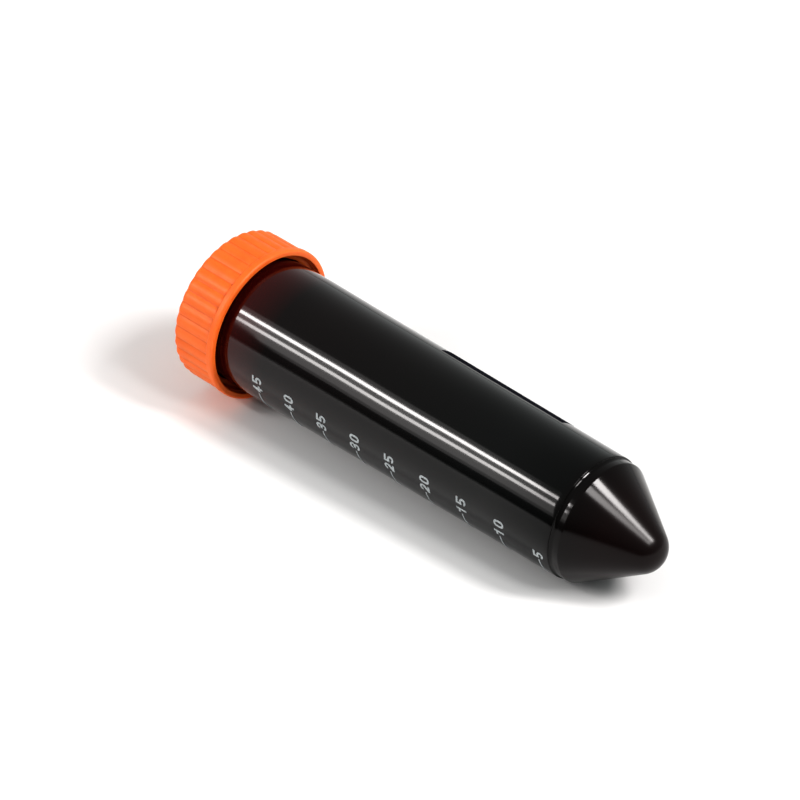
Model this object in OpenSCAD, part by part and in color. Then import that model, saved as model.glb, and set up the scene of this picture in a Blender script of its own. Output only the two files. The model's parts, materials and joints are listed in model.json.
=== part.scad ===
// 50 ml conical centrifuge tube with a ribbed screw cap, lying on its side.
//
// Every sub-part is drawn standing on the tip of the tube, with +Z along the tube's axis
// towards the cap. lying_down() then lays it on the plane Z = 0, resting on the cap's
// flange and on the end of the body, with +X along the tube towards its tip.
// Lengths are in millimetres and angles in degrees.

/* [Tube] */
// Length of the tube from its tip to its open rim
tube_len = 116; // [112:0.5:122]
// Outside radius of the body under the cap
body_top_r = 14.4; // [14.2:0.05:14.6]
// Outside radius of the body at the cone end
body_end_r = 13.45; // [13.2:0.05:13.9]
// Height above the tip where the body ends
body_end_z = 17.8; // [17:0.1:19]
// Thickness of the tube's wall
wall = 1.0; // [0.8:0.05:1.2]
// Length of the straight, undrafted band under the cap
land_len = 9; // [6:0.5:9.5]
// How far inside the cap's mouth the neck starts
neck_inset = 0.6; // [0.4:0.05:0.8]
// How much narrower the neck is than the band
neck_step = 0.3; // [0.25:0.05:0.4]
// Chamfer around the open rim
rim_chamfer = 0.2; // [0.1:0.05:0.3]
// Rounding where the body meets the collar
shoulder_round = 0.2; // [0.1:0.05:0.3]

/* [Cone] */
// Radius of the rounded tip
tip_r = 5.4; // [4.5:0.1:6]
// Angle between the cone's side and the axis
cone_angle = 33.4; // [31:0.2:35]
// How much narrower the collar above the cone is than the body
collar_step = 0.35; // [0.2:0.05:0.5]

/* [Thread] */
// Axial distance between two turns
thread_pitch = 3.2; // [3:0.1:3.4]
// Number of turns on the tube and in the cap
thread_turns = 1.5; // [1.25:0.25:1.5]
// Height of the ridges
thread_height = 1.1; // [0.9:0.05:1.1]
// Height of the tube's ridge start above the foot of the neck
thread_start = 2.45; // [2.3:0.05:2.6]
// Width of a ridge at its root
ridge_root_w = 1.7; // [1.5:0.1:1.8]
// Width of a ridge at its crest
ridge_crest_w = 0.8; // [0.6:0.1:0.9]
// Radial gap between a ridge and the wall facing it
thread_gap = 0.3; // [0.25:0.05:0.35]
// Axial gap between the two ridges where they hold the cap down
flank_gap = 0.12; // [0.05:0.01:0.3]

/* [Cap] */
// Height of the cap
cap_h = 11.35; // [11:0.05:12]
// Thickness of the cap's top
cap_top_t = 1.4; // [1.2:0.1:1.6]
// Radius over the ribs
cap_r = 16.9; // [16.8:0.05:17]
// Number of ribs
rib_count = 38; // [30:2:44]
// Depth of the valleys between the ribs
rib_depth = 0.36; // [0.2:0.02:0.4]
// Rounding of the cap's top edge
cap_edge_round = 0.9; // [0.5:0.1:1.2]
// Radius of the smooth flange at the open end
flange_r = 17.15; // [17.05:0.05:17.4]
// Height of the flange
flange_h = 1.6; // [1.2:0.1:2]
// Rounding of the flange's two edges
flange_round = 0.2; // [0.1:0.05:0.2]
// Radius of the cap's mouth
mouth_r = 15.75; // [15.6:0.05:15.9]
// Depth of the wide part of the mouth
mouth_depth = 0.9; // [0.6:0.1:0.9]

/* [Seal] */
// Thickness of the sealing disc
seal_t = 0.8; // [0.6:0.1:1]
// Height of the boss that centres the disc in the tube
seal_boss_h = 0.4; // [0.2:0.1:0.6]
// Gap around the disc and around its boss
seal_gap = 0.2; // [0.1:0.05:0.4]

/* [Printing] */
// Volume between two printed marks, in millilitres
mark_step_ml = 5; // [5]
// Volume at the highest printed mark, in millilitres
mark_top_ml = 45; // [40:5:45]
// Thickness of the ink
ink_t = 0.06; // [0.04:0.01:0.1]
// Width of a printed line
tick_w = 0.3; // [0.2:0.05:0.6]
// Length of a printed line around the tube
tick_len = 7; // [5:0.5:8]
// Direction in which the lines end, from straight up, with + towards +Y
tick_end_angle = -109.4; // [-130:0.2:-90]
// Height of a digit
digit_h = 2.6; // [2.2:0.1:3]
// Width of a digit
digit_w = 1.7; // [1.4:0.1:2]
// Width of a digit's strokes
stroke_w = 0.5; // [0.3:0.02:0.6]
// Gap beside each digit
digit_gap = 0.6; // [0.4:0.1:1]

/* [Writing panel] */
// Height above the tip where the panel starts
panel_z = 32.5; // [24:0.5:40]
// Length of the panel along the tube
panel_len = 32.5; // [28:0.5:50]
// Width of the panel around the tube
panel_w = 25; // [15:1:30]
// Direction of the panel's near edge, from straight up, with + towards +Y
panel_start_angle = 29; // [15:1:60]

/* [Hidden] */
$fn = 96;
amber_black = [0.07, 0.03, 0.03];
cap_orange = [1.0, 0.42, 0.16];
seal_white = [0.9, 0.88, 0.84];
ink_white = [0.86, 0.88, 0.88];
panel_black = [0.03, 0.03, 0.04];

// A sliver that makes faces overlap, and how far a cutter runs past what it cuts
eps = 0.01;
overcut = 1;

total_len = tube_len + seal_t + cap_top_t;
cap_z = total_len - cap_h;

// The neck inside the cap is narrower than the body, and carries the thread.
neck_r = body_top_r - neck_step;
neck_z = cap_z + neck_inset;
land_z = neck_z - land_len;

collar_r = body_end_r - collar_step;
inner_top_r = body_top_r - wall;
inner_end_r = body_end_r - wall;

// The two ridges are alike. Each is sunk a little into the wall that it stands on.
ridge_embed = 0.15;
cap_inner_r = neck_r + thread_height + thread_gap;
thread_z = neck_z + thread_start;
slope_per_height = (ridge_root_w - ridge_crest_w) / 2 / thread_height;
flank_offset = ridge_root_w - slope_per_height * (thread_height + thread_gap) + flank_gap;
ridge_step_angle = 10;
ridge_fade_steps = 3;

// The tube rests on two circles: the flange at its middle height, and the end of the body.
flange_mid_z = cap_z + flange_h / 2;
body_rest_z = body_end_z + shoulder_round;
rest_tilt = atan((flange_r - body_end_r) / (flange_mid_z - body_rest_z));
flange_axis_rise = flange_r * cos(rest_tilt) - flange_mid_z * sin(rest_tilt);

// Where the cap's top edge reaches along -X while the tip is at X = 0
cap_end_x = -(total_len - cap_edge_round) * cos(rest_tilt)
    - (cap_r - cap_edge_round) * sin(rest_tilt) - cap_edge_round;

// Outside radius of the cone at height z, for a tip sphere of radius ball_r centred at tip_r
function cone_r(z, ball_r) = (z - tip_r) * tan(cone_angle) + ball_r / cos(cone_angle);
function cone_z(r, ball_r) = tip_r + (r - ball_r / cos(cone_angle)) / tan(cone_angle);

// Outside radius of the drafted body at height z
body_draft = (body_top_r - body_end_r) / (land_z - body_end_z);
function body_r(z) = body_end_r + body_draft * (z - body_end_z);

// Height of the liquid's surface in an upright tube that holds a volume in cubic millimetres
inner_ball_r = tip_r - wall;
inner_cone_top_z = cone_z(inner_end_r, inner_ball_r);
inner_draft = (inner_top_r - inner_end_r) / (land_z - inner_cone_top_z);
ball_cap_h = inner_ball_r * (1 - sin(cone_angle));
ball_cap_r = inner_ball_r * cos(cone_angle);
inner_cone_h = inner_cone_top_z - (tip_r - inner_ball_r * sin(cone_angle));
ball_cap_volume = PI * pow(ball_cap_h, 2) * (3 * inner_ball_r - ball_cap_h) / 3;
inner_cone_volume = PI * inner_cone_h / 3
    * (pow(ball_cap_r, 2) + ball_cap_r * inner_end_r + pow(inner_end_r, 2));
tip_volume = ball_cap_volume + inner_cone_volume;
function level_r(volume) = pow(pow(inner_end_r, 3) + 3 * inner_draft * (volume - tip_volume) / PI, 1 / 3);
function level_z(volume) = inner_cone_top_z + (level_r(volume) - inner_end_r) / inner_draft;
function mark_z(ml) = level_z(ml * 1000);

// Angle that a length covers around the body, and the other way round
function arc_angle(len) = len / body_top_r * 180 / PI;

module lying_down() {
    translate([-cap_end_x / 2, 0, flange_axis_rise])
        rotate([0, rest_tilt - 90, 0])
            children();
}

// ---- Tube ----

module ball_and_cone(ball_r, top_z) {
    tangent_z = tip_r - ball_r * sin(cone_angle);
    translate([0, 0, tip_r])
        sphere(r = ball_r);
    translate([0, 0, tangent_z])
        cylinder(r1 = ball_r * cos(cone_angle), r2 = cone_r(top_z, ball_r), h = top_z - tangent_z);
}

module tube_outside() {
    cone_top_z = cone_z(collar_r, tip_r);
    ball_and_cone(tip_r, cone_top_z);
    rotate_extrude()
        tube_outside_profile(cone_top_z);
}

// Half section of the collar, the shoulder, the drafted body, the land and the neck
module tube_outside_profile(cone_top_z) {
    shoulder_r = body_r(body_end_z + shoulder_round) - shoulder_round;
    polygon([
        [0, cone_top_z - eps],
        [collar_r - eps * tan(cone_angle), cone_top_z - eps],
        [collar_r, cone_top_z],
        [collar_r, body_end_z + eps],
        [0, body_end_z + eps]
    ]);
    polygon([
        [0, body_end_z],
        [shoulder_r, body_end_z],
        [shoulder_r, body_end_z + shoulder_round],
        [body_r(body_end_z + shoulder_round), body_end_z + shoulder_round],
        [body_top_r, land_z],
        [body_top_r, neck_z],
        [neck_r, neck_z + body_top_r - neck_r],
        [neck_r, tube_len - rim_chamfer],
        [neck_r - rim_chamfer, tube_len],
        [0, tube_len]
    ]);
    translate([shoulder_r, body_end_z + shoulder_round])
        circle(r = shoulder_round);
}

module tube_cavity() {
    ball_and_cone(inner_ball_r, inner_cone_top_z);
    translate([0, 0, inner_cone_top_z - eps])
        cylinder(r = inner_end_r, h = 2 * eps);
    translate([0, 0, inner_cone_top_z])
        cylinder(r1 = inner_end_r, r2 = inner_top_r, h = land_z - inner_cone_top_z);
    translate([0, 0, land_z])
        cylinder(r = inner_top_r, h = tube_len - land_z + overcut);
}

// A helical ridge that stands from root_r to crest_r, outwards or inwards, and fades out
// at both ends. It starts at height 0 on the +X side and climbs a right-hand thread.
module helical_ridge(root_r, crest_r) {
    steps = thread_turns * 360 / ridge_step_angle;
    inwards = crest_r < root_r;
    buried_r = inwards ? root_r + ridge_embed : root_r - ridge_embed;
    function fade(i) = min(1, (i + 0.3) / ridge_fade_steps, (steps - i + 0.3) / ridge_fade_steps);
    function corner(i, r, half_w, side) = [
        r * cos(i * ridge_step_angle),
        r * sin(i * ridge_step_angle),
        thread_pitch * i * ridge_step_angle / 360 + side * half_w * fade(i)
    ];
    function crest_at(i) = root_r + (crest_r - root_r) * fade(i);
    points = [
        for (i = [0 : steps])
            each [
                corner(i, buried_r, ridge_root_w / 2, -1),
                corner(i, crest_at(i), ridge_crest_w / 2, -1),
                corner(i, crest_at(i), ridge_crest_w / 2, 1),
                corner(i, buried_r, ridge_root_w / 2, 1)
            ]
    ];
    sides = [
        for (i = [0 : steps - 1], k = [0 : 3])
            let (a = 4 * i + k, b = 4 * i + (k + 1) % 4)
                each [[a, b, b + 4], [a, b + 4, a + 4]]
    ];
    last = 4 * steps;
    low_end = [[3, 2, 1], [3, 1, 0]];
    high_end = [[last, last + 1, last + 2], [last, last + 2, last + 3]];
    faces = concat(sides, low_end, high_end);
    polyhedron(points, inwards ? [for (f = faces) [f[2], f[1], f[0]]] : faces);
}

module tube_body() {
    color(amber_black)
        lying_down()
            difference() {
                union() {
                    tube_outside();
                    translate([0, 0, thread_z])
                        helical_ridge(neck_r, neck_r + thread_height);
                }
                tube_cavity();
            }
}

// ---- Cap ----

// Outline of the ribbed skirt: each rib is a round crest that spans one pitch
module rib_outline() {
    half_pitch = PI * cap_r / rib_count;
    crest_round_r = (pow(half_pitch, 2) + pow(rib_depth, 2)) / (2 * rib_depth);
    circle(r = cap_r - rib_depth);
    for (i = [0 : rib_count - 1])
        rotate(i * 360 / rib_count)
            translate([cap_r - crest_round_r, 0])
                circle(r = crest_round_r);
}

// A disc whose upper edge is rounded, and its lower edge too where both_edges is true
module rounded_disc(r, h, edge_r, both_edges = false) {
    low = both_edges ? edge_r : 0;
    rotate_extrude() {
        square([r - edge_r, h]);
        translate([0, low])
            square([r, h - edge_r - low]);
        for (y = both_edges ? [edge_r, h - edge_r] : [h - edge_r])
            translate([r - edge_r, y])
                circle(r = edge_r);
    }
}

// The ribs start inside the flange and just clear the rounded disc that trims them.
module ribbed_skirt() {
    intersection() {
        translate([0, 0, flange_h / 2])
            linear_extrude(cap_h - flange_h / 2)
                rib_outline();
        rounded_disc(cap_r + eps / 10, cap_h, cap_edge_round);
    }
}

module cap_outside() {
    ribbed_skirt();
    rounded_disc(flange_r, flange_h, flange_round, both_edges = true);
}

module cap_cavity() {
    translate([0, 0, -overcut])
        cylinder(r = mouth_r, h = mouth_depth + overcut);
    translate([0, 0, mouth_depth])
        cylinder(r1 = mouth_r, r2 = cap_inner_r, h = mouth_r - cap_inner_r);
    cylinder(r = cap_inner_r, h = cap_h - cap_top_t);
}

module screw_cap() {
    color(cap_orange)
        lying_down() {
            translate([0, 0, cap_z])
                difference() {
                    cap_outside();
                    cap_cavity();
                }
            translate([0, 0, thread_z - flank_offset])
                helical_ridge(cap_inner_r, cap_inner_r - thread_height);
        }
}

module cap_seal() {
    color(seal_white)
        lying_down() {
            translate([0, 0, tube_len])
                cylinder(r = cap_inner_r - seal_gap, h = seal_t);
            translate([0, 0, tube_len - seal_boss_h])
                cylinder(r = inner_top_r - seal_gap, h = seal_boss_h + eps);
        }
}

// ---- Printing ----

// A thin layer on the body between two heights, all the way round or over an angle
module ink_band(z_low, z_high, angle) {
    rotate_extrude(angle = angle)
        polygon([
            [body_r(z_low), z_low],
            [body_r(z_low) + ink_t, z_low],
            [body_r(z_high) + ink_t, z_high],
            [body_r(z_high), z_high]
        ]);
}

module graduation_lines() {
    tick_angle = arc_angle(tick_len);
    color(ink_white)
        lying_down()
            rotate(tick_end_angle - tick_angle)
                for (ml = [mark_step_ml : mark_step_ml : mark_top_ml])
                    ink_band(mark_z(ml) - tick_w / 2, mark_z(ml) + tick_w / 2, tick_angle);
}

// Digits are drawn with the lower left corner at the origin.
module stadium(w, h) {
    r = w / 2;
    translate([r, r])
        circle(r = r);
    if (h > w) {
        translate([r, h - r])
            circle(r = r);
        translate([0, r])
            square([w, h - w]);
    }
}

module ring_stroke(w, h) {
    difference() {
        stadium(w, h);
        translate([stroke_w, stroke_w])
            stadium(w - 2 * stroke_w, h - 2 * stroke_w);
    }
}

// The open side of a bowl starts at gap_x and lies between gap_low and gap_high.
module bowl(h, gap_low, gap_high) {
    difference() {
        ring_stroke(digit_w, h);
        translate([-eps, gap_low])
            square([digit_w / 2, gap_high - gap_low]);
    }
}

module digit_0() {
    ring_stroke(digit_w, digit_h);
}

module digit_1() {
    translate([(digit_w - stroke_w) / 2, 0])
        square([stroke_w, digit_h]);
    translate([digit_w / 2 - 2 * stroke_w, digit_h - 2 * stroke_w])
        square([2 * stroke_w, stroke_w]);
}

module digit_2() {
    bend_y = digit_h - digit_w / 2;
    difference() {
        translate([0, digit_h - digit_w])
            ring_stroke(digit_w, digit_w);
        translate([-eps, 0])
            square([digit_w - stroke_w, bend_y]);
        square([digit_w + eps, bend_y - stroke_w]);
    }
    polygon([
        [0, 0],
        [0, stroke_w],
        [digit_w - stroke_w, bend_y],
        [digit_w - eps, bend_y - stroke_w],
        [stroke_w, 0]
    ]);
    square([digit_w, stroke_w]);
}

module digit_3() {
    bowl_h = (digit_h + stroke_w) / 2;
    bowl(bowl_h, stroke_w * 1.5, bowl_h + eps);
    translate([0, bowl_h - stroke_w])
        bowl(bowl_h, -eps, bowl_h - stroke_w * 1.5);
    translate([digit_w / 2 - stroke_w, bowl_h - stroke_w])
        square([stroke_w * 1.5, stroke_w]);
}

module digit_4() {
    post_x = digit_w - 2 * stroke_w;
    bar_y = digit_h * 0.25;
    translate([post_x, 0])
        square([stroke_w, digit_h]);
    translate([0, bar_y])
        square([digit_w, stroke_w]);
    polygon([
        [0, bar_y],
        [0, bar_y + stroke_w],
        [post_x, digit_h],
        [post_x + stroke_w, digit_h],
        [stroke_w, bar_y + stroke_w / 2]
    ]);
}

module digit_5() {
    bowl_h = digit_h * 0.62;
    bowl(bowl_h, stroke_w * 1.2, bowl_h - stroke_w);
    translate([0, bowl_h - stroke_w])
        square([stroke_w, digit_h - bowl_h + stroke_w]);
    translate([0, digit_h - stroke_w])
        square([digit_w, stroke_w]);
}

module digit(value) {
    if (value == 0) digit_0();
    if (value == 1) digit_1();
    if (value == 2) digit_2();
    if (value == 3) digit_3();
    if (value == 4) digit_4();
    if (value == 5) digit_5();
}

// Presses a flat drawing onto the body at an angle and a height
module on_body(angle, z) {
    rotate(angle)
        translate([body_end_r - overcut, -digit_w / 2, z - digit_h / 2])
            rotate([90, 0, 90])
                linear_extrude(body_top_r - body_end_r + 2 * overcut)
                    children();
}

// The digits of a number run around the tube, the first one beside its line.
function digits_of(ml) = ml < 10 ? [ml] : [floor(ml / 10), ml % 10];

module graduation_numbers() {
    pitch_angle = arc_angle(digit_w + digit_gap);
    first_angle = tick_end_angle + arc_angle(digit_gap + digit_w / 2);
    color(ink_white)
        lying_down()
            intersection() {
                ink_band(body_end_z + shoulder_round, land_z, 360);
                for (ml = [mark_step_ml : mark_step_ml : mark_top_ml])
                    for (k = [0 : len(digits_of(ml)) - 1])
                        on_body(first_angle + k * pitch_angle, mark_z(ml))
                            digit(digits_of(ml)[k]);
            }
}

module writing_panel() {
    color(panel_black)
        lying_down()
            rotate(panel_start_angle)
                ink_band(panel_z, panel_z + panel_len, arc_angle(panel_w));
}

tube_body();
screw_cap();
cap_seal();
graduation_lines();
graduation_numbers();
writing_panel();
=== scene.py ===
"""A 50 ml conical centrifuge tube with a ribbed orange screw cap, lying on a pale studio floor.

Every lathed piece is drawn standing on the tube's tip, with +Z along the tube towards the cap,
and is then laid down by one matrix taken from the cap's joint. All lengths are in metres.
"""
import json
import math

import bpy
from mathutils import Matrix, Vector, noise


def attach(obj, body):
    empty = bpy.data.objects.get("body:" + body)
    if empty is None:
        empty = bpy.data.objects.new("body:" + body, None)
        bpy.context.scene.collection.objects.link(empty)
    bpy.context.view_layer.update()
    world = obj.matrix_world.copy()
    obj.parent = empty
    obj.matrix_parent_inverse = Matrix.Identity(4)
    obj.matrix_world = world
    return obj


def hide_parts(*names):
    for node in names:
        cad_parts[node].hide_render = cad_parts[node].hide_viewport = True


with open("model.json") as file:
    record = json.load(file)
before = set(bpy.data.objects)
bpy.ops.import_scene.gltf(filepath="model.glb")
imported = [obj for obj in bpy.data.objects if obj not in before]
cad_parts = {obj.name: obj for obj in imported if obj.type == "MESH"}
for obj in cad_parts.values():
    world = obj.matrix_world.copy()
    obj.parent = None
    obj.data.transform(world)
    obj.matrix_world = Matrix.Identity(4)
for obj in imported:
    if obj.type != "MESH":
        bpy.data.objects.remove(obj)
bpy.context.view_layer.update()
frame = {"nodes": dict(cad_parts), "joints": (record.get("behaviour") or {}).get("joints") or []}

# ---------------------------------------------------------------- sizes
MM = 0.001
MICRON = 0.001 * MM
# Points closer than this to a surface count as lying on it.
TOUCH = 0.01 * MM
# Points closer than this to the axis are joined into one.
AXIS_R = 0.0001 * MM

# Tube, as in the CAD: heights are measured along the axis from the tip.
TUBE_LEN = 116 * MM
BODY_TOP_R = 14.4 * MM
BODY_END_R = 13.45 * MM
BODY_END_Z = 17.8 * MM
WALL = 1.0 * MM
TIP_R = 5.4 * MM
CONE_ANGLE = math.radians(33.4)
COLLAR_R = 13.1 * MM
COLLAR_ROUND = 0.6 * MM
SHOULDER_ROUND = 0.2 * MM
BAND_ROUND = 0.1 * MM
RIM_ROUND = 0.2 * MM
NECK_R = 14.1 * MM
NECK_Z = 107.45 * MM
LAND_Z = 98.45 * MM

# Faint moulding waviness on the tube's outside: its height, its spread and how it is drawn out
WAVE_H = 0.045 * MM
WAVE_SPREAD = 9 * MM
WAVE_STRETCH = 0.45
WAVE_FADE = 3 * MM

# Thread, the same on the tube and in the cap
PITCH = 3.2 * MM
TURNS = 1.5
RIDGE_H = 1.1 * MM
RIDGE_ROOT_W = 1.7 * MM
RIDGE_CREST_W = 0.8 * MM
RIDGE_FADE = math.radians(35)
TUBE_RIDGE_Z = 109.9 * MM
CAP_RIDGE_Z = 108.65 * MM

# Cap
CAP_Z = 106.85 * MM
CAP_TOP_Z = 118.2 * MM
CAP_TOP_T = 1.4 * MM
CAP_R = 16.9 * MM
CAP_EDGE_ROUND = 0.9 * MM
CAP_INNER_R = 15.5 * MM
CAP_INNER_ROUND = 0.25 * MM
MOUTH_R = 15.75 * MM
MOUTH_DEPTH = 0.9 * MM
FLANGE_R = 17.15 * MM
FLANGE_H = 1.6 * MM
FLANGE_LOW_ROUND = 0.6 * MM
FLANGE_TOP_ROUND = 0.2 * MM
RIB_COUNT = 38
RIB_DEPTH = 0.36 * MM
RIB_TOP_FADE = 0.15 * MM
RIB_FOOT_FADE = 0.35 * MM

# A shallow recess in the cap's top with a moulding dimple in its middle. The CAD's top is flat.
RECESS_R = 11.2 * MM
RECESS_DEPTH = 0.12 * MM
RECESS_SLOPE = 0.2 * MM
DIMPLE_R = 1.0 * MM
DIMPLE_SLOPE = 0.3 * MM
DIMPLE_EDGE_DEPTH = 0.3 * MM
DIMPLE_DEPTH = 0.34 * MM

# Seal
SEAL_T = 0.8 * MM
SEAL_GAP = 0.2 * MM
SEAL_BOSS_H = 0.4 * MM
SEAL_ROUND = 0.15 * MM
SEAL_CREASE_ROUND = 0.05 * MM

# Mesh fineness: the longest step along an outline, and the columns around the axis
TUBE_STEP = 1.2 * MM
NECK_STEP = 0.1 * MM
CAP_STEP = 0.14 * MM
SEAL_STEP = 0.8 * MM
TUBE_COLUMNS = 384
COLUMNS_PER_RIB = 16
SEAL_COLUMNS = 192

# ---------------------------------------------------------------- camera
CAMERA_AZIMUTH = math.radians(-46.7)
CAMERA_ELEVATION = math.radians(35.7)
CAMERA_DISTANCE = 0.792
CAMERA_AIM = Vector((-10.25 * MM, 0.0, 16.3 * MM))
CAMERA_LENS = 176
CAMERA_SENSOR = 36
CAMERA_CLIP_START = 10 * MM


def direction(azimuth, elevation):
    flat = math.cos(elevation)
    return Vector((flat * math.cos(azimuth), flat * math.sin(azimuth), math.sin(elevation)))


def aim(item, place, target):
    """Puts a camera at a place, looking at a target."""
    item.location = place
    item.rotation_euler = (target - place).to_track_quat("-Z", "Y").to_euler()


def link(name, data):
    item = bpy.data.objects.new(name, data)
    bpy.context.scene.collection.objects.link(item)
    return item


def make_camera():
    data = bpy.data.cameras.new("camera")
    data.lens = CAMERA_LENS
    data.sensor_width = CAMERA_SENSOR
    data.clip_start = CAMERA_CLIP_START
    camera = link("camera", data)
    place = CAMERA_AIM + CAMERA_DISTANCE * direction(CAMERA_AZIMUTH, CAMERA_ELEVATION)
    aim(camera, place, CAMERA_AIM)
    bpy.context.scene.camera = camera


make_camera()


# ---------------------------------------------------------------- placing
def lying_matrix():
    """From the upright tube to where it lies: the cap's joint sits in the middle of the cap's mouth."""
    joint = next(j for j in frame["joints"] if j["name"] == "cap_turn")
    along = Vector(joint["axis"]).normalized()
    across = Vector((0, 1, 0))
    up = across.cross(along)
    turn = Matrix((up, across, along)).transposed().to_4x4()
    return Matrix.Translation(Vector(joint["pos_m"]) - along * CAP_Z) @ turn


LYING = lying_matrix()


# ---------------------------------------------------------------- lathed meshes
def rounded_outline(corners, spacing, arc_steps=6):
    """Turns (r, z, rounding) corners into an outline with round corners and evenly spaced points."""
    points = []
    last = len(corners) - 1
    for i, (r, z, rounding) in enumerate(corners):
        here = Vector((r, z))
        if rounding == 0 or i in (0, last):
            points.append(here)
            continue
        before = (Vector(corners[i - 1][:2]) - here).normalized()
        after = (Vector(corners[i + 1][:2]) - here).normalized()
        half = before.angle(after) / 2
        reach = rounding / math.tan(half)
        centre = here + (before + after).normalized() * (rounding / math.sin(half))
        start = (here + before * reach - centre).normalized()
        end = (here + after * reach - centre).normalized()
        points += [centre + rounding * start.slerp(end, k / arc_steps) for k in range(arc_steps + 1)]
    even = [points[0]]
    for a, b in zip(points, points[1:]):
        pieces = max(1, math.ceil((b - a).length / spacing))
        even += [a.lerp(b, k / pieces) for k in range(1, pieces + 1)]
    return even


def lathe(name, outline, columns, shift=None):
    """Spins an outline round the axis. shift(angle, r, z) gives the radius at each point."""
    vertices, rings = [], []
    for r, z in outline:
        if r < AXIS_R:
            rings.append([len(vertices)])
            vertices.append(LYING @ Vector((0, 0, z)))
            continue
        rings.append(list(range(len(vertices), len(vertices) + columns)))
        for k in range(columns):
            angle = 2 * math.pi * k / columns
            radius = shift(angle, r, z) if shift else r
            vertices.append(LYING @ Vector((radius * math.cos(angle), radius * math.sin(angle), z)))
    faces = []
    for low, high in zip(rings, rings[1:]):
        for k in range(columns):
            n = (k + 1) % columns
            if len(low) == 1 and len(high) == 1:
                continue
            if len(low) == 1:
                faces.append((low[0], high[n], high[k]))
            elif len(high) == 1:
                faces.append((low[k], low[n], high[0]))
            else:
                faces.append((low[k], low[n], high[n], high[k]))
    mesh = bpy.data.meshes.new(name)
    mesh.from_pydata(vertices, [], faces)
    mesh.validate()
    mesh.shade_smooth()
    return link(name, mesh)


def smooth(low, high, value):
    t = min(1.0, max(0.0, (value - low) / (high - low)))
    return t * t * (3 - 2 * t)


def ridge(angle, z, start_z):
    """Height of the helical ridge, from 0 to 1, at an angle and a height."""
    total = 2 * math.pi * TURNS
    turn = round((z - start_z) / PITCH - angle / (2 * math.pi))
    run = angle + 2 * math.pi * turn
    if run < 0 or run > total:
        return 0.0
    away = abs(z - start_z - PITCH * run / (2 * math.pi))
    flank = 1 - smooth(RIDGE_CREST_W / 2, RIDGE_ROOT_W / 2, away)
    return flank * smooth(0, RIDGE_FADE, run) * smooth(0, RIDGE_FADE, total - run)


# ---------------------------------------------------------------- tube
def cone_height(r, ball_r):
    return TIP_R + (r - ball_r / math.cos(CONE_ANGLE)) / math.tan(CONE_ANGLE)


def ball_points(ball_r, steps=14):
    """The rounded tip, from the axis to where the cone leaves it."""
    sweep = math.pi / 2 - CONE_ANGLE
    return [
        (ball_r * math.sin(sweep * k / steps), TIP_R - ball_r * math.cos(sweep * k / steps), 0)
        for k in range(steps + 1)
    ]


def make_tube():
    inner_end_r = BODY_END_R - WALL
    inner_top_r = BODY_TOP_R - WALL
    inner_ball_r = TIP_R - WALL
    outside = ball_points(TIP_R) + [
        (COLLAR_R, cone_height(COLLAR_R, TIP_R), COLLAR_ROUND),
        (COLLAR_R, BODY_END_Z, 0),
        (BODY_END_R, BODY_END_Z, SHOULDER_ROUND),
        (BODY_TOP_R, LAND_Z, 0),
        (BODY_TOP_R, NECK_Z, BAND_ROUND),
        (NECK_R, NECK_Z + BODY_TOP_R - NECK_R, 0),
        (NECK_R, TUBE_LEN, RIM_ROUND),
        (inner_top_r, TUBE_LEN, RIM_ROUND),
    ]
    inside = [
        (inner_top_r, LAND_Z, 0),
        (inner_end_r, cone_height(inner_end_r, inner_ball_r), COLLAR_ROUND),
    ] + list(reversed(ball_points(inner_ball_r)))
    coarse = rounded_outline(outside + inside, TUBE_STEP)
    # the neck is cut finely, so that the thread stands out of it cleanly
    outline = [coarse[0]]
    for a, b in zip(coarse, coarse[1:]):
        on_neck = min(a.y, b.y) > NECK_Z and min(a.x, b.x) > NECK_R - TOUCH
        pieces = max(1, math.ceil((b - a).length / NECK_STEP)) if on_neck else 1
        outline += [a.lerp(b, k / pieces) for k in range(1, pieces + 1)]

    def shift(angle, r, z):
        if z > NECK_Z and r > NECK_R - TOUCH:
            return r + RIDGE_H * ridge(angle, z, TUBE_RIDGE_Z)
        if r < BODY_END_R - WALL / 2 or z > NECK_Z:
            return r
        spot = Vector((r * math.cos(angle), r * math.sin(angle), z * WAVE_STRETCH)) / WAVE_SPREAD
        return r + WAVE_H * noise.noise(spot) * smooth(BODY_END_Z, BODY_END_Z + WAVE_FADE, z)

    return lathe("tube_shell", outline, TUBE_COLUMNS, shift)


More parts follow.
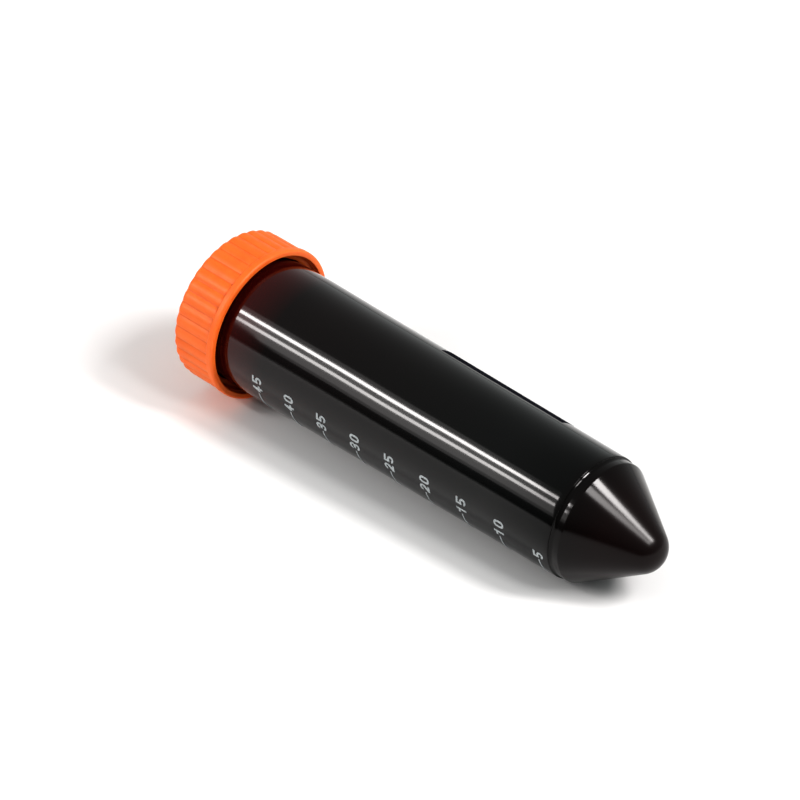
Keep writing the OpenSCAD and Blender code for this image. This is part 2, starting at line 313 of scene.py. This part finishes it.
# ---------------------------------------------------------------- cap
def make_cap():
    under_top = CAP_TOP_Z - CAP_TOP_T
    mouth_top = CAP_Z + MOUTH_DEPTH
    flange_top = CAP_Z + FLANGE_H
    recess_z = CAP_TOP_Z - RECESS_DEPTH
    corners = [
        (0, under_top, 0),
        (CAP_INNER_R, under_top, CAP_INNER_ROUND),
        (CAP_INNER_R, mouth_top + MOUTH_R - CAP_INNER_R, 0),
        (MOUTH_R, mouth_top, 0),
        (MOUTH_R, CAP_Z, CAP_INNER_ROUND),
        (FLANGE_R, CAP_Z, FLANGE_LOW_ROUND),
        (FLANGE_R, flange_top, FLANGE_TOP_ROUND),
        (CAP_R, flange_top, 0),
        (CAP_R, CAP_TOP_Z, CAP_EDGE_ROUND),
        (RECESS_R, CAP_TOP_Z, 0),
        (RECESS_R - RECESS_SLOPE, recess_z, 0),
        (DIMPLE_R, recess_z, 0),
        (DIMPLE_R - DIMPLE_SLOPE, CAP_TOP_Z - DIMPLE_EDGE_DEPTH, 0),
        (0, CAP_TOP_Z - DIMPLE_DEPTH, 0),
    ]
    outline = rounded_outline(corners, CAP_STEP, arc_steps=8)

    def shift(angle, r, z):
        if r < CAP_INNER_R + TOUCH and z < under_top:
            return r - RIDGE_H * ridge(angle, z, CAP_RIDGE_Z)
        if z < flange_top + MICRON or r < CAP_R - CAP_EDGE_ROUND:
            return r
        across = (angle / (2 * math.pi) * RIB_COUNT + 0.5) % 1 * 2 - 1
        depth = RIB_DEPTH * across * across * smooth(CAP_R - CAP_EDGE_ROUND, CAP_R - RIB_TOP_FADE, r)
        return r - depth * smooth(flange_top, flange_top + RIB_FOOT_FADE, z)

    return lathe("cap_shell", outline, RIB_COUNT * COLUMNS_PER_RIB, shift)


# ---------------------------------------------------------------- seal
def make_seal():
    disc_r = CAP_INNER_R - SEAL_GAP
    boss_r = BODY_TOP_R - WALL - SEAL_GAP
    corners = [
        (0, TUBE_LEN - SEAL_BOSS_H, 0),
        (boss_r, TUBE_LEN - SEAL_BOSS_H, SEAL_ROUND),
        (boss_r, TUBE_LEN, SEAL_CREASE_ROUND),
        (disc_r, TUBE_LEN, SEAL_ROUND),
        (disc_r, TUBE_LEN + SEAL_T, SEAL_ROUND),
        (0, TUBE_LEN + SEAL_T, 0),
    ]
    return lathe("seal_disc", rounded_outline(corners, SEAL_STEP), SEAL_COLUMNS)


# ---------------------------------------------------------------- materials
class Nodes:
    """A short way to write node trees."""

    def __init__(self, name):
        self.material = bpy.data.materials.new(name)
        self.material.use_nodes = True
        self.tree = self.material.node_tree
        self.shader = self.tree.nodes["Principled BSDF"]
        self.place = self.add("ShaderNodeTexCoord").outputs["Object"]

    def add(self, kind, **values):
        node = self.tree.nodes.new(kind)
        for key, value in values.items():
            if hasattr(node, key):
                setattr(node, key, value)
            else:
                self.put(node.inputs[key.replace("_", " ")], value)
        return node

    def put(self, socket, value):
        if isinstance(value, bpy.types.NodeSocket):
            self.tree.links.new(value, socket)
        else:
            socket.default_value = value

    def noise(self, scale, detail=3.0, roughness=0.5, stretch=(1, 1, 1)):
        mapping = self.add("ShaderNodeMapping", Vector=self.place, Scale=stretch)
        node = self.add("ShaderNodeTexNoise", Vector=mapping.outputs[0], Scale=scale, Detail=detail)
        node.inputs["Roughness"].default_value = roughness
        return node.outputs["Fac"]

    def ramp(self, value, low, high, start, end):
        """Maps a value's low..high onto start..end, numbers or colours alike."""
        if isinstance(start, (int, float)):
            node = self.add("ShaderNodeMapRange", Value=value)
            for key, number in (("From Min", low), ("From Max", high), ("To Min", start), ("To Max", end)):
                node.inputs[key].default_value = number
            return node.outputs[0]
        node = self.add("ShaderNodeValToRGB", Fac=value)
        node.color_ramp.elements[0].position = low
        node.color_ramp.elements[1].position = high
        node.color_ramp.elements[0].color = (*start, 1)
        node.color_ramp.elements[1].color = (*end, 1)
        return node.outputs[0]

    def mix(self, share, first, second):
        node = self.add("ShaderNodeMix", data_type="RGBA")
        for key, value in (("Factor_Float", share), ("A_Color", first), ("B_Color", second)):
            socket = next(i for i in node.inputs if i.identifier == key)
            self.put(socket, (*value, 1) if isinstance(value, tuple) else value)
        return next(o for o in node.outputs if o.identifier == "Result_Color")

    def maximum(self, first, second):
        node = self.add("ShaderNodeMath", operation="MAXIMUM")
        self.put(node.inputs[0], first)
        self.put(node.inputs[1], second)
        return node.outputs[0]

    def bump(self, height, distance, strength=1.0):
        return self.add("ShaderNodeBump", Height=height, Distance=distance, Strength=strength).outputs[0]

    def set(self, **values):
        for key, value in values.items():
            self.put(self.shader.inputs[key.replace("_", " ")], value)
        return self.material


def amber_plastic():
    """Nearly black, glossy polypropylene. It is opaque: the dark red light that shines through its ends is
    painted into its colour.

    The tube lies along X, with its tip at the positive end. The cone is rougher and reflects less
    than the body, which keeps its highlights soft.
    """
    n = Nodes("amber_plastic")
    along = n.add("ShaderNodeSeparateXYZ", Vector=n.place).outputs["X"]
    flow = n.noise(140, 3, 0.55, stretch=(0.35, 1, 1))
    body = n.ramp(flow, 0.3, 0.75, (0.0014, 0.0016, 0.0015), (0.0026, 0.0026, 0.0024))
    # Painted light: a dark red tint towards the cap and towards the tip stands in for light shining
    # through the plastic.
    painted_body_glow = n.ramp(along, 20 * MM, -35 * MM, 0.0, 0.05)
    painted_neck_glow = n.ramp(along, -35 * MM, -49 * MM, 0.0, 1.0)
    painted_cone_glow = n.ramp(along, 40 * MM, 50 * MM, 0.0, 0.08)
    painted_glow = n.maximum(n.maximum(painted_body_glow, painted_neck_glow), painted_cone_glow)
    body_rough = n.ramp(n.noise(900, 4, 0.6, stretch=(0.25, 1, 1)), 0.3, 0.75, 0.075, 0.10)
    cone_rough = n.ramp(along, 40 * MM, 56 * MM, 0.07, 0.24)
    scratches = n.noise(2600, 2, 0.5, stretch=(0.12, 1, 1))
    return n.set(
        Base_Color=n.mix(painted_glow, body, (0.060, 0.0040, 0.0035)),
        Roughness=n.maximum(body_rough, cone_rough),
        IOR=1.49,
        Specular_IOR_Level=n.ramp(along, 25 * MM, 45 * MM, 0.5, 0.32),
        Normal=n.bump(scratches, 1 * MICRON, 0.2),
    )


def orange_plastic():
    """Satin orange polyethylene: slightly translucent and mottled, with painted shade down in the ribs'
    valleys.
    """
    n = Nodes("orange_plastic")
    mottle = n.noise(260, 3, 0.5)
    colour = n.ramp(mottle, 0.3, 0.7, (0.80, 0.160, 0.021), (0.86, 0.188, 0.029))
    curvature = n.add("ShaderNodeNewGeometry").outputs["Pointiness"]
    # Painted shade: where the surface curves inwards, in the ribs' valleys, the colour turns to a deeper,
    # darker orange.
    painted_valley_shade = n.ramp(curvature, 0.40, 0.50, 1.0, 0.0)
    rough = n.ramp(n.noise(1500, 3, 0.6), 0.3, 0.7, 0.42, 0.52)
    grain = n.noise(5200, 3, 0.6)
    return n.set(
        Base_Color=n.mix(painted_valley_shade, colour, (0.60, 0.088, 0.010)),
        Roughness=rough,
        IOR=1.5,
        Subsurface_Weight=0.25,
        Subsurface_Radius=(1.0, 0.25, 0.08),
        Subsurface_Scale=1.2 * MM,
        Normal=n.bump(grain, 8 * MICRON, 0.6),
    )


def silicone():
    n = Nodes("silicone")
    colour = n.ramp(n.noise(300, 2), 0.3, 0.7, (0.66, 0.64, 0.58), (0.76, 0.74, 0.68))
    rough = n.ramp(n.noise(1200, 3), 0.3, 0.7, 0.38, 0.55)
    return n.set(
        Base_Color=colour,
        Roughness=rough,
        Subsurface_Weight=0.2,
        Subsurface_Scale=1 * MM,
        Normal=n.bump(n.noise(3500, 2), 6 * MICRON, 0.5),
    )


def white_ink():
    """Screen-printed ink: uneven cover with tiny pinholes."""
    n = Nodes("white_ink")
    cover = n.noise(4200, 4, 0.6)
    colour = n.ramp(cover, 0.30, 0.52, (0.20, 0.22, 0.23), (0.46, 0.49, 0.50))
    return n.set(
        Base_Color=colour,
        Roughness=n.ramp(n.noise(2500, 3), 0.3, 0.7, 0.45, 0.65),
        Normal=n.bump(cover, 10 * MICRON, 0.6),
    )


def panel_frosting():
    """A fine matt texture that takes a marker: dark, and dull even at a glancing angle."""
    n = Nodes("panel_frosting")
    speckle = n.noise(5200, 4, 0.7)
    colour = n.ramp(speckle, 0.3, 0.7, (0.0022, 0.0025, 0.0065), (0.0060, 0.0065, 0.0130))
    return n.set(
        Base_Color=colour,
        Roughness=n.ramp(n.noise(1800, 3), 0.3, 0.7, 0.72, 0.88),
        Specular_IOR_Level=0.05,
        Normal=n.bump(speckle, 30 * MICRON, 0.8),
    )


def floor_paint():
    n = Nodes("floor_paint")
    colour = n.ramp(n.noise(30, 2), 0.3, 0.7, (0.85, 0.85, 0.85), (0.87, 0.87, 0.87))
    return n.set(Base_Color=colour, Roughness=0.85, Specular_IOR_Level=0.1)


def dress(item, material):
    item.data.materials.clear()
    item.data.materials.append(material)
    return item


# ---------------------------------------------------------------- the pieces
tube = dress(make_tube(), amber_plastic())
cap = dress(make_cap(), orange_plastic())
seal = dress(make_seal(), silicone())
for piece, body, node, slot in (
    (tube, "tube", "tube_body", "tube_plastic"),
    (cap, "cap", "screw_cap", "cap_plastic"),
    (seal, "seal", "cap_seal", "seal_rubber"),
):
    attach(piece, body)
    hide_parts(node)

ink = white_ink()
dress(frame["nodes"]["graduation_lines"], ink)
dress(frame["nodes"]["graduation_numbers"], ink)
dress(frame["nodes"]["writing_panel"], panel_frosting())


# ---------------------------------------------------------------- studio
FLOOR_SIZE = 8.0
TUBE_MIDDLE = Vector((0, 0, 15 * MM))
LAMP_WHITE = (1.0, 0.97, 0.96)
BOARD_RADIANCE = 0.9
BOARD_LENGTH = 0.19
ROOM_STRENGTH = 0.38
ROOM_LIFT = 0.34
ROOM_COLOUR = (0.965, 1.0, 0.995, 1)
ROOM_BRIGHT_AZIMUTH = math.radians(105)


def make_floor():
    half = FLOOR_SIZE / 2
    mesh = bpy.data.meshes.new("floor")
    corners = [(-half, -half, 0), (half, -half, 0), (half, half, 0), (-half, half, 0)]
    mesh.from_pydata(corners, [], [(0, 1, 2, 3)])
    floor = dress(link("floor", mesh), floor_paint())


def strip(name, start, along, length, width, radiance):
    """A soft lamp whose long side runs from a point along a direction, turned towards the tube."""
    data = bpy.data.lights.new(name, "AREA")
    data.shape = "RECTANGLE"
    data.size = length
    data.size_y = width
    data.color = LAMP_WHITE
    data.energy = radiance * math.pi * length * width
    side = along.normalized()
    place = start + side * (length / 2)
    back = place - TUBE_MIDDLE
    back = (back - back.dot(side) * side).normalized()
    turn = Matrix((side, back.cross(side), back)).transposed().to_4x4()
    link(name, data).matrix_world = Matrix.Translation(place) @ turn


def twin_lamp(name, start, along, step, length, width, radiances):
    """Two parallel strips, the second one a step away from the first."""
    for k, radiance in enumerate(radiances):
        strip(f"{name}_{k}", start + step * k, along, length, width, radiance)


def make_front_lamp():
    start = Vector((-0.158, -0.295, 0.314))
    along = Vector((-0.993, -0.085, -0.087))
    step = Vector((0, -0.055, -0.070))
    twin_lamp("front_lamp", start, along, step, 0.17, 0.036, (18, 10))
    # two dim boards behind the lamps, one wider than the other, give the light a soft edge
    for k, (width, distance) in enumerate(((0.24, 1.05), (0.34, 1.09))):
        place = start * distance + step * 0.95
        strip(f"front_board_{k}", place, along, BOARD_LENGTH, width, BOARD_RADIANCE)


def make_back_lamp():
    start = Vector((0.483, -0.059, 0.746))
    along = Vector((0.84, 0.13, -0.53))
    step = Vector((-0.038, 0.246, 0.004))
    twin_lamp("back_lamp", start, along, step, 0.30, 0.168, (10, 25))


def make_world():
    """A dim room. Near the horizon it is lighter behind the tube and darker on the other side."""
    world = bpy.data.worlds.new("studio")
    world.use_nodes = True
    tree = world.node_tree
    background = tree.nodes["Background"]

    def math_node(operation, *values):
        node = tree.nodes.new("ShaderNodeMath")
        node.operation = operation
        for socket, value in zip(node.inputs, values):
            if isinstance(value, bpy.types.NodeSocket):
                tree.links.new(value, socket)
            else:
                socket.default_value = value
        return node.outputs[0]

    ray = tree.nodes.new("ShaderNodeTexCoord").outputs["Generated"]
    towards_back = tree.nodes.new("ShaderNodeVectorMath")
    towards_back.operation = "DOT_PRODUCT"
    tree.links.new(ray, towards_back.inputs[0])
    towards_back.inputs[1].default_value = direction(ROOM_BRIGHT_AZIMUTH, 0)
    parts = tree.nodes.new("ShaderNodeSeparateXYZ")
    tree.links.new(ray, parts.inputs[0])
    steepness = math_node("ABSOLUTE", parts.outputs["Z"])
    near_horizon = math_node("POWER", math_node("SUBTRACT", 1.0, steepness), 2.0)
    lift = math_node("MULTIPLY", towards_back.outputs["Value"], near_horizon)
    strength = math_node("MULTIPLY_ADD", lift, ROOM_LIFT, ROOM_STRENGTH)
    tree.links.new(strength, background.inputs["Strength"])
    background.inputs["Color"].default_value = ROOM_COLOUR
    bpy.context.scene.world = world


make_floor()
make_front_lamp()
make_back_lamp()
make_world()
bpy.context.scene.cycles.use_denoising = True
bpy.context.scene.view_settings.view_transform = "Standard"
bpy.context.scene.view_settings.look = "High Contrast"
